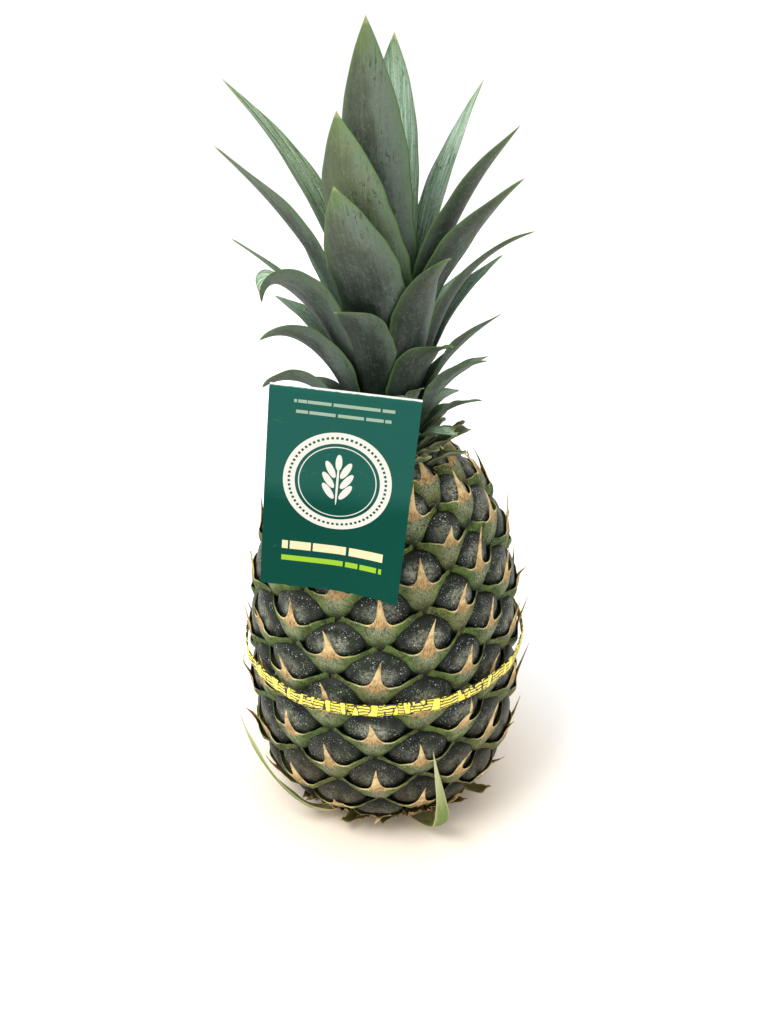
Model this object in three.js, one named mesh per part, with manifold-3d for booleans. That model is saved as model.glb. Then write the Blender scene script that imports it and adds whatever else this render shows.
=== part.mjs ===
// Pineapple standing on its base: the fruit, the crown of leaves, dried leaves left round the base,
// a card tag tied to the crown and a printed elastic band round the fruit.
// Millimetres, +Z up, the origin at the centre of the flat spot under the fruit. The front faces -Y.
import * as THREE from "three";
import Module from "manifold-3d";

const wasm = await Module();
wasm.setup();

// Fruit
const FRUIT_DIAMETER = 131;
const FRUIT_HEIGHT = 184;
const BASE_FLAT_DIAMETER = 48;
const FRUIT_TOP_DIAMETER = 36;
// The fruit's shape: height and radius as fractions of its height and of its largest radius.
const FRUIT_SHAPE = [
  [0.022, 0.58],
  [0.065, 0.815],
  [0.141, 0.945],
  [0.245, 0.99],
  [0.359, 1.0],
  [0.489, 0.985],
  [0.62, 0.955],
  [0.739, 0.888],
  [0.837, 0.79],
  [0.913, 0.65],
  [0.967, 0.46],
];

// Eyes: one helix of diamond-shaped eyes climbs the fruit.
const EYES_PER_TURN = 9.5;
const EYE_ROW_PITCH = 14.6;
const FIRST_EYE_AZIMUTH = 35;
const FIRST_EYE_DISTANCE = 4.5;
const EYE_RELIEF = 4.2;
const BRACT_LIP = 1.2;
const SPINE_LENGTH = 11;
const SPINE_WIDTH = 6.5;
const SPINE_LEAN = 4.2;
const SPINE_SINK = 2.2;
const GRID_PER_EYE = 6;
const GRID_ROWS_PER_PITCH = 3;

// Stalk, cut off flush with the flat spot
const STALK_DIAMETER = 27;
const STALK_DEPTH = 8;

// Crown
const CROWN_STEM_HEIGHT = 44;
const CROWN_STEM_TOP_DIAMETER = 9;
const LEAF_THICKNESS = 1.3;
const LEAF_BASE_SHARE = 0.52;
const LEAF_STATIONS = 9;
const LEAF_PULL = 0.41;
const LEAF_CHANNEL = 0.5;
const LEAF_TAPER = 2.9;

// Band
const BAND_HEIGHT_ON_FRUIT = 84.5;
const BAND_WIDTH = 5;
const BAND_THICKNESS = 0.7;
const BAND_STANDOFF = 1.2;
const BAND_TILT = 2.6;
const BAND_TILT_AZIMUTH = 75;

// Tag, a card folded over at its top
const TAG_WIDTH = 57.2;
const TAG_HEIGHT = 88.9;
const TAG_THICKNESS = 0.6;
const TAG_FLAP = 15;
const TAG_FOLD_GAP = 2.6;
const TAG_TOP_X = -14;
const TAG_STAND_IN = 4;
const TAG_TOP_ABOVE_LEAF = 35.5;
const TAG_TURN = -4;
const TAG_ROLL = 5.7;
const TAG_LEAN = 2.4;

// Elastic tie, through two holes in the tag's flap and round the crown's leaf of this number
const TIE_LEAF = 29;
const TIE_DIAMETER = 1.2;
const TIE_WIDTH = 20;
const TIE_LEAF_DISTANCE = 35.5;
const TIE_DROP = 5;
const TIE_SLOPE = 8;
const TIE_HOLE_DIAMETER = 2.4;
const TIE_HOLE_SPACING = 9;
const TIE_OFFSET = 18;

const CLEARANCE = 0.3;

const rad = THREE.MathUtils.degToRad;

// A point from its azimuth (0 at the front, growing towards +X), its distance from the axis and its height.
function polar(azimuth, r, z) {
  const a = rad(azimuth);
  return new THREE.Vector3(r * Math.sin(a), -r * Math.cos(a), z);
}

// Eases from 0 at a to 1 at b.
function ease(a, b, x) {
  return THREE.MathUtils.smoothstep(x, a, b);
}

// A closed body from rings of equal numbers of points. startCap closes its first ring, as triangles of
// places in the ring, and a last ring of one point closes its end to a tip.
function loft(rings, startCap) {
  const points = [];
  const firsts = rings.map((ring) => points.push(...ring) - ring.length);
  const faces = [];
  for (let k = 0; k + 1 < rings.length; k++) {
    const n = rings[k].length;
    for (let i = 0; i < n; i++) {
      const j = (i + 1) % n;
      const a = firsts[k];
      const b = firsts[k + 1];
      if (rings[k + 1].length === 1) faces.push(a + i, a + j, b);
      else faces.push(a + i, a + j, b + j, a + i, b + j, b + i);
    }
  }
  for (const [i, j, k] of startCap) faces.push(i, k, j);
  return indexed(points, faces);
}

// A manifold-3d solid from a three.js geometry with its vertices merged by place.
function solid(geometry) {
  const g = geometry.index ? geometry.toNonIndexed() : geometry;
  const p = g.getAttribute("position");
  const places = new Map();
  const vertProperties = [];
  const triVerts = [];
  for (let i = 0; i < p.count; i++) {
    const c = [p.getX(i), p.getY(i), p.getZ(i)];
    const key = c.map((v) => Math.round(v * 1e4)).join();
    if (!places.has(key)) {
      places.set(key, places.size);
      vertProperties.push(...c);
    }
    triVerts.push(places.get(key));
  }
  const kept = [];
  for (let i = 0; i < triVerts.length; i += 3) {
    const [a, b, c] = triVerts.slice(i, i + 3);
    if (a !== b && b !== c && c !== a) kept.push(a, b, c);
  }
  return new wasm.Manifold(
    new wasm.Mesh({
      numProp: 3,
      vertProperties: new Float32Array(vertProperties),
      triVerts: new Uint32Array(kept),
    }),
  );
}

// A three.js geometry from a manifold-3d solid.
function geometryOf(made) {
  const m = made.getMesh();
  const g = new THREE.BufferGeometry();
  g.setAttribute("position", new THREE.BufferAttribute(new Float32Array(m.vertProperties), 3));
  g.setIndex(Array.from(m.triVerts));
  return g;
}

const part = new THREE.Group();

function add(name, geometry, color) {
  const flat = geometry.index ? geometry.toNonIndexed() : geometry;
  flat.computeVertexNormals();
  const material = new THREE.MeshStandardMaterial({ color, roughness: 0.6, flatShading: true });
  const mesh = new THREE.Mesh(flat, material);
  mesh.name = name;
  part.add(mesh);
}

// The fruit's meridian from the edge of the flat spot to the edge of its top, x for the radius and y for
// the height.
const meridian = new THREE.CatmullRomCurve3(
  [
    new THREE.Vector3(BASE_FLAT_DIAMETER / 2, 0, 0),
    ...FRUIT_SHAPE.map(([h, r]) => new THREE.Vector3((r * FRUIT_DIAMETER) / 2, h * FRUIT_HEIGHT, 0)),
    new THREE.Vector3(FRUIT_TOP_DIAMETER / 2, FRUIT_HEIGHT, 0),
  ],
  false,
  "centripetal",
);
meridian.arcLengthDivisions = 600;
const meridianLength = meridian.getLength();
const eyeAngle = 360 / EYES_PER_TURN;

// The share of the full eye size kept at a distance along the meridian: none at the two flat ends.
function eyeShare(s) {
  return ease(0, 18, s) * ease(0, 16, meridianLength - s);
}

// The eye whose diamond holds a place on the fruit, with the place's offsets from its centre as shares of
// the half diamond.
function eyeAt(azimuth, s) {
  const middle = (EYES_PER_TURN * (s - FIRST_EYE_DISTANCE)) / EYE_ROW_PITCH;
  let best = null;
  for (let t = Math.floor(middle - EYES_PER_TURN - 2); t <= middle + EYES_PER_TURN + 2; t++) {
    const turned = azimuth - FIRST_EYE_AZIMUTH - eyeAngle * t;
    const across = THREE.MathUtils.euclideanModulo(turned + 180, 360) - 180;
    const u = across / (eyeAngle / 2);
    const rise = (EYE_ROW_PITCH * (t + across / eyeAngle)) / EYES_PER_TURN;
    const v = (s - FIRST_EYE_DISTANCE - rise) / EYE_ROW_PITCH;
    const d = Math.abs(u) + Math.abs(v);
    if (!best || d < best.d) best = { d, u, v };
  }
  return best;
}

// How far the surface stands in from the envelope: nothing on the domes and deepest between the eyes,
// with the bract's lip standing out below each dome.
function eyeDepth(azimuth, s) {
  const { d, u, v } = eyeAt(azimuth, s);
  const dome = 1 - Math.min(d, 1) ** 2.4;
  const lip = Math.exp(-(((v + 0.35) / 0.2) ** 2)) * Math.max(0, 1 - Math.abs(u) * 1.4);
  return eyeShare(s) * (EYE_RELIEF * (1 - dome) - BRACT_LIP * lip);
}

// The place on the meridian and the way out from the surface there.
function meridianAt(s) {
  const share = THREE.MathUtils.clamp(s / meridianLength, 0, 1);
  const place = meridian.getPointAt(share);
  const along = meridian.getTangentAt(share);
  return { r: place.x, z: place.y, outR: along.y, outZ: -along.x };
}

// A point standing out from the fruit's envelope by a height.
function onFruit(azimuth, s, height) {
  const m = meridianAt(s);
  return polar(azimuth, m.r + height * m.outR, m.z + height * m.outZ);
}

const columns = EYES_PER_TURN * GRID_PER_EYE;
const columnAzimuth = (i) => FIRST_EYE_AZIMUTH + (360 * i) / columns;

// The fruit's skin: each row climbs with the eyes' helix, so that the last column of one row meets the
// first column a whole pitch higher. Rows are held at the two ends of the meridian, and each square is
// split along its deeper diagonal so that the grooves between the eyes stay open.
function skin() {
  const spacing = EYE_ROW_PITCH / GRID_ROWS_PER_PITCH;
  const first = -Math.ceil(FIRST_EYE_DISTANCE / spacing) - GRID_ROWS_PER_PITCH;
  const rows = Math.ceil(meridianLength / spacing) - first;
  const points = [];
  const depths = [];
  for (let k = 0; k <= rows; k++) {
    for (let i = 0; i <= columns; i++) {
      const climbed = FIRST_EYE_DISTANCE + (first + k) * spacing + (EYE_ROW_PITCH * i) / columns;
      const s = THREE.MathUtils.clamp(climbed, 0, meridianLength);
      const depth = eyeDepth(columnAzimuth(i), s);
      depths.push(depth);
      points.push(onFruit(columnAzimuth(i), s, -depth));
    }
  }
  const faces = [];
  const across = columns + 1;
  for (let k = 0; k < rows; k++) {
    for (let i = 0; i < columns; i++) {
      const a = k * across + i;
      const b = a + across;
      if (depths[a] + depths[b + 1] > depths[a + 1] + depths[b]) faces.push(a, a + 1, b + 1, a, b + 1, b);
      else faces.push(a, a + 1, b, a + 1, b + 1, b);
    }
  }
  return { points, faces };
}

// The two flat ends and the recess for the stalk, round the same columns.
function endFaces(points, faces) {
  const rim = (r, z) => {
    const start = points.length;
    for (let i = 0; i <= columns; i++) points.push(polar(columnAzimuth(i), r, z));
    return start;
  };
  const recess = STALK_DIAMETER / 2 + CLEARANCE;
  const rims = [
    rim(recess, STALK_DEPTH),
    rim(recess, 0),
    rim(BASE_FLAT_DIAMETER / 2, 0),
    rim(FRUIT_TOP_DIAMETER / 2, FRUIT_HEIGHT),
  ];
  const roof = points.push(new THREE.Vector3(0, 0, STALK_DEPTH)) - 1;
  const summit = points.push(new THREE.Vector3(0, 0, FRUIT_HEIGHT)) - 1;
  for (let i = 0; i < columns; i++) {
    for (const [low, high] of [rims.slice(0, 2), rims.slice(1, 3)]) {
      faces.push(low + i, low + i + 1, high + i + 1, low + i, high + i + 1, high + i);
    }
    faces.push(roof, rims[0] + i + 1, rims[0] + i);
    faces.push(rims[3] + i, rims[3] + i + 1, summit);
  }
}

function indexed(points, faces) {
  const g = new THREE.BufferGeometry();
  const flat = new Float32Array(points.flatMap((p) => [p.x, p.y, p.z]));
  g.setAttribute("position", new THREE.BufferAttribute(flat, 3));
  g.setIndex(faces);
  return g;
}

// The band's centre height at an azimuth, and its inner radius, just outside the domes it presses on.
function bandZ(azimuth) {
  return BAND_HEIGHT_ON_FRUIT + BAND_TILT * Math.cos(rad(azimuth - BAND_TILT_AZIMUTH));
}
const bandInner = FRUIT_DIAMETER / 2 + BAND_STANDOFF;

// One spine: a narrow pyramid from the bract's middle, leaning out as it rises. Under the band it's
// pressed against the fruit.
function spine(azimuth, s) {
  const size = eyeShare(s) * (0.45 + 0.55 * ease(30, 75, s));
  const foot = meridianAt(s);
  const pressed = Math.abs(foot.z + SPINE_LENGTH / 2 - bandZ(azimuth)) < SPINE_LENGTH;
  const lean = pressed ? -0.2 : SPINE_LEAN * size;
  const half = ((SPINE_WIDTH / 2) * size * 360) / (2 * Math.PI * foot.r);
  const low = s - 3.5 * size;
  const tip = onFruit(azimuth, s + SPINE_LENGTH * size, lean);
  const front = onFruit(azimuth, s - 1, pressed ? 0.1 : 0.9 * size);
  const deep = -EYE_RELIEF - SPINE_SINK;
  const ring = [
    onFruit(azimuth, low, -0.9 - SPINE_SINK * size),
    onFruit(azimuth + half, s, -1.2 * size - 0.4),
    onFruit(azimuth, s + 2, deep * size - 0.8),
    onFruit(azimuth - half, s, -1.2 * size - 0.4),
  ];
  const points = [...ring, front, tip];
  const faces = [0, 1, 4, 4, 1, 5, 1, 2, 5, 2, 3, 5, 3, 4, 5, 3, 0, 4, 0, 3, 1, 1, 3, 2];
  return solid(indexed(points, faces));
}

const eyes = Math.floor((EYES_PER_TURN * (meridianLength - FIRST_EYE_DISTANCE)) / EYE_ROW_PITCH);
const spines = [];
for (let t = 0; t < eyes; t++) {
  const s = FIRST_EYE_DISTANCE + (EYE_ROW_PITCH * t) / EYES_PER_TURN;
  if (eyeShare(s) > 0.6) spines.push(spine(FIRST_EYE_AZIMUTH + eyeAngle * t, s));
}
const { points: fruitPoints, faces: fruitFaces } = skin();
endFaces(fruitPoints, fruitFaces);
const fruitBody = solid(indexed(fruitPoints, fruitFaces));
add("fruit", geometryOf(wasm.Manifold.union([fruitBody, ...spines])), 0x3f5238);

// Stalk, its cut face level with the flat spot
const stalk = new THREE.CylinderGeometry(STALK_DIAMETER / 2, STALK_DIAMETER / 2, STALK_DEPTH - CLEARANCE, 24);
stalk.rotateX(Math.PI / 2);
stalk.translate(0, 0, (STALK_DEPTH - CLEARANCE) / 2);
add("stalk_stub", stalk, 0x8a7a55);

// Crown stem
const stemFoot = FRUIT_HEIGHT + CLEARANCE;
const stemFootRadius = FRUIT_TOP_DIAMETER / 2 - 1;
function stemRadius(height) {
  const share = THREE.MathUtils.clamp(height / CROWN_STEM_HEIGHT, 0, 1);
  return THREE.MathUtils.lerp(stemFootRadius, CROWN_STEM_TOP_DIAMETER / 2, share ** 0.9);
}
const stemProfile = [new THREE.Vector2(0, 0)];
for (let k = 0; k <= 6; k++) {
  const h = (CROWN_STEM_HEIGHT * k) / 6;
  stemProfile.push(new THREE.Vector2(stemRadius(h), h));
}
stemProfile.push(new THREE.Vector2(0, CROWN_STEM_HEIGHT + 1.5));
const stem = new THREE.LatheGeometry(stemProfile, 24);
stem.rotateX(Math.PI / 2);
stem.translate(0, 0, stemFoot);
add("crown_stem", stem, 0x8f9a63);

// One leaf: a channelled blade along a curve, widest a third of the way up and drawn out to a point.
// centre gives the blade's middle from 0 to 1, base is the width at its foot as a share of the widest and
// roll turns the outer face towards growing azimuths in degrees.
const bladeCap = [
  [0, 1, 7],
  [1, 2, 6],
  [1, 6, 7],
  [2, 3, 5],
  [2, 5, 6],
  [3, 4, 5],
];
function blade(centre, width, channel, base, thickness, roll) {
  const rings = [];
  for (let k = 0; k < LEAF_STATIONS; k++) {
    const t = k / LEAF_STATIONS;
    const middle = centre(t);
    const along = centre(t + 0.01).sub(centre(t - 0.01)).normalize();
    const side = new THREE.Vector3(-middle.y, middle.x, 0).normalize();
    side.addScaledVector(along, -side.dot(along)).normalize();
    side.applyAxisAngle(along, -rad(roll) * ease(0.2, 0.7, t));
    const out = new THREE.Vector3().crossVectors(side, along).normalize();
    const half = ((base + (1 - base) * ease(0, 0.34, t)) * (1 - t ** LEAF_TAPER) * width) / 2;
    const thick = thickness * (1 - 0.65 * t);
    const fold = channel * (1 - 0.35 * t) * half;
    const place = (x, lift) =>
      middle
        .clone()
        .addScaledVector(side, x * half)
        .addScaledVector(out, lift - fold * x * x);
    rings.push([
      place(-1, 0),
      place(-0.5, thick / 2),
      place(0, thick / 2),
      place(0.5, thick / 2),
      place(1, 0),
      place(0.5, -thick / 2),
      place(0, -thick / 2),
      place(-0.5, -thick / 2),
    ]);
  }
  rings.push([centre(1)]);
  return loft(rings, bladeCap);
}

// The crown's leaves, outermost last. Each row: azimuth, height of the foot as a share of the stem's, reach
// of the tip from the axis, height of the tip above the foot, widest width, steepness at the foot,
// steepness at the tip, how far the tip drifts round, and how far the blade rolls about its own middle;
// angles in degrees.
const CROWN_LEAVES = [
  [-20, 0.9091, 19, 131, 29, 87, 92, 0, 0],
  [154, 0.8636, 9, 126, 21, 84, 97, 0, 0],
  [-33, 0.8068, 30, 104.5, 28, 84, 90, -2, 0],
  [-144, 0.7841, 25, 103.5, 16, 83, 84, 0, 0],
  [119, 0.6818, 46, 116, 14, 80, 58, 1, -14],
  [-12, 0.7045, 37, 83, 27, 82, 91, -18, 0],
  [180, 0.7045, 42, 101, 17, 79, 68, 0, 0],
  [-114, 0.6818, 72, 116, 16, 82, 40, 0, 10],
  [72, 0.625, 53, 106.5, 19, 78, 49, 2, 26],
  [-170, 0.6136, 52, 89, 19, 80, 60, 0, 0],
  [-87, 0.5795, 66, 99.5, 18, 79, 43, 0, -28],
  [66, 0.5455, 57, 92, 18, 78, 42, 2, 30],
  [138, 0.5568, 56, 95.5, 18, 78, 50, 0, 0],
  [-75, 0.4773, 52, 45, 18, 78, -78, 5, -12],
  [37, 0.4545, 42, 69, 18, 63, 33, 0, 4],
  [-138, 0.5, 60, 82, 18, 76, 40, 0, 0],
  [88, 0.4318, 61, 74, 16, 72, 22, -4, 18],
  [115, 0.375, 57, 59.5, 14, 68, 32, 0, 0],
  [-19, 0.4091, 45, 52, 20, 71, 15, -6, 0],
  [160, 0.4205, 62, 69.5, 18, 72, 32, 0, 0],
  [-106, 0.4091, 65, 68, 14, 72, 34, 6, -20],
  [-162, 0.3636, 60, 58, 17, 70, 26, 0, 0],
  [44, 0.3409, 36, 35, 22, 70, 10, 8, 10],
  [142, 0.3068, 57, 54.5, 14, 69, 36, -8, 0],
  [-70, 0.3068, 53, 35.5, 19, 72, -30, -8, -10],
  [92, 0.2727, 50, 45, 13, 68, 34, 0, 30],
  [150, 0.25, 58, 43, 15, 65, 20, -2, 0],
  [-122, 0.2727, 58, 44, 16, 66, 16, 0, 0],
  [9, 0.25, 45, 27, 12, 62, 34, 0, 0],
  [-35, 0.25, 48, 23, 16, 62, 20, 0, 0],
  [180, 0.2273, 58, 36, 16, 62, 10, 0, 0],
  [67, 0.2045, 46, 33, 13, 60, 14, 3, 22],
  [-90, 0.1818, 53, 16, 16, 62, -38, 0, -15],
  [106, 0.1591, 48, 27, 12, 60, 20, 0, 0],
  [38.5, 0.1591, 27, 25, 10, 70, 20, 0, 0],
  [158, 0.1477, 50, 21.5, 14, 56, 0, 0, 0],
  [-145, 0.1364, 50, 20, 14, 56, -6, 0, 0],
  [-12, 0.125, 42, 14.5, 13, 54, 0, 0, 0],
  [84, 0.0909, 43, 16, 11, 50, 6, 0, 20],
  [-60, 0.0909, 44, 10, 12, 52, -10, 0, 0],
  [124, 0.0682, 42, 11, 12, 48, 0, 0, 0],
  [-100, 0.0568, 46, 7.5, 12, 46, -16, 0, 0],
  [-170, 0.0568, 42, 7.5, 12, 46, -6, 0, 0],
  [58, 0.0568, 37, 7.5, 10, 44, 0, 0, 0],
];

function crownLeaf([azimuth, footShare, reach, rise, width, steepFoot, steepTip, drift, roll]) {
  const foot = footShare * CROWN_STEM_HEIGHT;
  const start = new THREE.Vector2(stemRadius(foot) + CLEARANCE + LEAF_THICKNESS / 2 + 0.2, stemFoot + foot);
  const end = new THREE.Vector2(reach, FRUIT_HEIGHT + foot + rise);
  const pull = start.distanceTo(end) * LEAF_PULL;
  const heading = (angle) => new THREE.Vector2(pull, 0).rotateAround(new THREE.Vector2(), rad(angle));
  const curve = new THREE.CubicBezierCurve(
    start,
    start.clone().add(heading(steepFoot)),
    end.clone().sub(heading(steepTip)),
    end,
  );
  const centre = (t) => {
    const p = curve.getPoint(t);
    return polar(azimuth + drift * t * t, p.x, p.y);
  };
  return blade(centre, width, LEAF_CHANNEL, LEAF_BASE_SHARE, LEAF_THICKNESS, roll);
}

CROWN_LEAVES.forEach((row, i) => {
  add("crown_leaf_" + String(i + 1).padStart(2, "0"), crownLeaf(row), 0x5d7560);
});

// Dried leaves left round the base, from under the fruit outwards and up. Each row: width, then the places
// the middle passes through as azimuth, distance outside the fruit's largest radius and height.
const BASE_BRACTS = [
  [10, [-31, -26.5, 1.6], [-35, -13.5, 4.6], [-43, -1, 18], [-60, 6, 36], [-73, 9, 52]],
  [10, [20, -26.5, 1.4], [22, -14.5, 3.2], [25, -1.5, 10], [23, 5.5, 27], [18, 7.5, 60]],
  [11, [-13, -28.5, 1.4], [-16, -20.5, 2.2], [-19, -12.5, 4.6], [-21, -6.5, 10]],
  [10, [2, -28.5, 1.4], [1, -20.5, 2.4], [-1, -12.5, 5]],
  [10, [62, -28.5, 1.4], [60, -18.5, 2.4], [57, -7.5, 7], [55, -1, 15]],
];

BASE_BRACTS.forEach(([width, ...places], i) => {
  const curve = new THREE.CatmullRomCurve3(
    places.map(([azimuth, outside, z]) => polar(azimuth, FRUIT_DIAMETER / 2 + outside, z)),
  );
  const centre = (t) => {
    const inside = THREE.MathUtils.clamp(t, 0, 1);
    return curve.getPoint(inside).addScaledVector(curve.getTangent(inside), (t - inside) * 60);
  };
  add("base_bract_" + (i + 1), blade(centre, width, 0.3, 0.5, 0.9, 0), 0x9a9a52);
});

// Elastic band round the fruit
const bandRings = [];
const bandSections = 48;
for (let i = 0; i < bandSections; i++) {
  const azimuth = (360 * i) / bandSections;
  const z = bandZ(azimuth);
  const outer = bandInner + BAND_THICKNESS;
  bandRings.push([
    polar(azimuth, bandInner, z + BAND_WIDTH / 2),
    polar(azimuth, outer, z + BAND_WIDTH / 2),
    polar(azimuth, outer, z - BAND_WIDTH / 2),
    polar(azimuth, bandInner, z - BAND_WIDTH / 2),
  ]);
}
bandRings.push(bandRings[0]);
add("printed_band", loft(bandRings, []), 0xf2dc3c);

// Tag: its front panel, the fold over its top and the short flap behind, seen from its side, where x runs
// back from the front face and y up.
// The card's front stands a little inside the fruit's widest radius, so that it leans on the fruit, and its
// top hangs at a set height above the foot of the leaf that the tie goes round.
const tagTopY = TAG_STAND_IN - FRUIT_DIAMETER / 2;
const tagTopZ = FRUIT_HEIGHT + CROWN_LEAVES[TIE_LEAF - 1][1] * CROWN_STEM_HEIGHT + TAG_TOP_ABOVE_LEAF;
const foldOut = TAG_FOLD_GAP / 2 + TAG_THICKNESS;
const foldIn = TAG_FOLD_GAP / 2;
const tagSide = new THREE.Shape();
tagSide.moveTo(-foldOut, -TAG_HEIGHT);
tagSide.lineTo(-foldOut, -foldOut);
for (let k = 1; k <= 6; k++) {
  const a = Math.PI - (Math.PI * k) / 6;
  tagSide.lineTo(foldOut * Math.cos(a), -foldOut + foldOut * Math.sin(a));
}
tagSide.lineTo(foldOut, -TAG_FLAP);
tagSide.lineTo(foldIn, -TAG_FLAP);
for (let k = 0; k <= 6; k++) {
  const a = (Math.PI * k) / 6;
  tagSide.lineTo(foldIn * Math.cos(a), -foldOut + foldIn * Math.sin(a));
}
tagSide.lineTo(-foldIn, -TAG_HEIGHT);
const card = new THREE.ExtrudeGeometry(tagSide, { depth: TAG_WIDTH, bevelEnabled: false });
// x of the extrusion becomes +Y, its y becomes +Z and its depth runs along +X.
card.applyMatrix4(new THREE.Matrix4().set(0, 0, 1, -TAG_WIDTH / 2, 1, 0, 0, 0, 0, 1, 0, 0, 0, 0, 0, 1));
const holeDrop = -foldOut - TIE_DROP;
let tagBody = solid(card);
for (const side of [-1, 1]) {
  const hole = new THREE.CylinderGeometry(TIE_HOLE_DIAMETER / 2, TIE_HOLE_DIAMETER / 2, 2, 12);
  hole.translate((side * TIE_HOLE_SPACING) / 2 + TIE_OFFSET, foldOut, holeDrop);
  tagBody = tagBody.subtract(solid(hole));
}
const tagPlace = new THREE.Matrix4()
  .makeTranslation(TAG_TOP_X, tagTopY, tagTopZ)
  .multiply(new THREE.Matrix4().makeRotationZ(rad(TAG_TURN)))
  .multiply(new THREE.Matrix4().makeRotationX(rad(TAG_LEAN)))
  .multiply(new THREE.Matrix4().makeRotationY(rad(TAG_ROLL)));
const tagGeometry = geometryOf(tagBody);
tagGeometry.applyMatrix4(tagPlace);
add("hang_tag", tagGeometry, 0x0d4f45);

// Elastic tie: one closed loop that runs inside the fold between the two holes and back round a leaf
const tieHalf = TIE_HOLE_SPACING / 2;
const tieReach = -tagTopY - TIE_LEAF_DISTANCE;
const tiePlaces = [
  [0, -0.1],
  [tieHalf - 1.2, 0.1],
  [tieHalf, foldIn],
  [tieHalf + 0.2, foldOut + 1.2],
  [TIE_WIDTH / 2, tieReach * 0.4],
  [TIE_WIDTH * 0.36, tieReach * 0.86],
  [0, tieReach],
];
const tieBack = tiePlaces.slice(1, -1).reverse();
const tiePoints = [...tiePlaces, ...tieBack.map(([x, y]) => [-x, y])].map(
  ([x, y]) => new THREE.Vector3(TIE_OFFSET + x, y, holeDrop - (TIE_SLOPE * y) / tieReach),
);
const tieCurve = new THREE.CatmullRomCurve3(tiePoints, true, "centripetal");
const tie = new THREE.TubeGeometry(tieCurve, 56, TIE_DIAMETER / 2, 7, true);
tie.applyMatrix4(tagPlace);
add("elastic_tie", tie, 0xe9e4d2);

export default part;
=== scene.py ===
"""Looks for the pineapple: fine skin, bracts, leaves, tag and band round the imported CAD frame, in metres."""

import math

import bpy
import numpy as np
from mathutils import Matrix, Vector


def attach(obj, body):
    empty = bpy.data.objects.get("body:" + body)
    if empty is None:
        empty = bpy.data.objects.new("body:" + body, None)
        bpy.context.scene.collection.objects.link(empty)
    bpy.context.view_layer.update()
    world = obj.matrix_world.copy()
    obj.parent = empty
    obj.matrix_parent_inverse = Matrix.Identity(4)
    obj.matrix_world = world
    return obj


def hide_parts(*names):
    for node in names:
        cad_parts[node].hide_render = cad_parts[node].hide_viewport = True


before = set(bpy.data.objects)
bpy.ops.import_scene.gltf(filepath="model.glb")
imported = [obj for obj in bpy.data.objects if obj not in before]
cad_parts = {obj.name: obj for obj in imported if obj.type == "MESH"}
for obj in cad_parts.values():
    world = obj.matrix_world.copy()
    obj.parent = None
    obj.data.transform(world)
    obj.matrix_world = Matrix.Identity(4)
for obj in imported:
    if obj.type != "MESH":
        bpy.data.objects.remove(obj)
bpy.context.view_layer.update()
MM = 0.001

# ------------------------ sizes, as in the CAD part, in mm
FRUIT_DIAMETER = 131
FRUIT_HEIGHT = 184
BASE_FLAT_DIAMETER = 48
FRUIT_TOP_DIAMETER = 36
FRUIT_SHAPE = [(0.022, 0.58), (0.065, 0.815), (0.141, 0.945), (0.245, 0.99), (0.359, 1.0), (0.489, 0.985),
               (0.62, 0.955), (0.739, 0.888), (0.837, 0.79), (0.913, 0.65), (0.967, 0.46)]
EYES_PER_TURN = 9.5
EYE_PITCH = 14.6
EYE_ANGLE = 360 / EYES_PER_TURN
FIRST_AZIMUTH = 35
FIRST_DISTANCE = 4.5
EYE_RELIEF = 4.2
STALK_DIAMETER = 27
STALK_DEPTH = 8
STEM_HEIGHT = 44
STEM_TOP_DIAMETER = 9
CLEARANCE = 0.3
BAND_Z = 84.5
BAND_TILT = 2.6
BAND_TILT_AZIMUTH = 75
BAND_RADIUS = 66.7
TAG = {"width": 57.2, "height": 88.9, "thick": 0.6, "flap": 15, "gap": 2.6}
TAG_TOP = (-14, -61.5, 230.5)
TAG_TURN, TAG_LEAN, TAG_ROLL = -4, 2.4, 5.7           # degrees

# ------------------------ sizes of the visual model only, in mm
DOME_WIDTH, DOME_HEIGHT = 0.71, 0.68                  # as shares of an eye's half width and of its pitch
DOME_CENTRE, DOME_POWER = 0.33, 2.5
SKIN_COLUMNS, SKIN_ROWS = 560, 350
BRACT_THICKNESS = 0.3
MIN_EYE_SHARE = 0.12                                  # eyes nearer the ends than this have no bract
BROWN_TO = 75                                         # height up to which the domes turn brown
DRY_TO = 70                                           # height up to which the bracts turn dry
BAND_GAP = 3.4                                        # half the height kept clear for the band
NECK_BRACTS = 42
GOLDEN_ANGLE = 137.5                                  # degrees from one neck bract to the next
BASE_SCALES, FRONT_SCALES = 34, 14
TAG_CURL = 5.0                                        # how far the tag's lower right corner comes forward
TAG_BEND = 1.5                                        # how far the tag's middle bows forward

rng = np.random.default_rng(7)


def smooth(a, b, x):
    """0 at a and 1 at b, with an even start and end; a may be the larger."""
    t = np.clip((np.asarray(x, float) - a) / (b - a), 0, 1)
    return t * t * (3 - 2 * t)


def srgb(code):
    """A hex colour as linear RGBA."""
    out = []
    for k in (0, 2, 4):
        c = int(code[k:k + 2], 16) / 255
        out.append(c / 12.92 if c <= 0.04045 else ((c + 0.055) / 1.055) ** 2.4)
    return (*out, 1.0)


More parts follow.
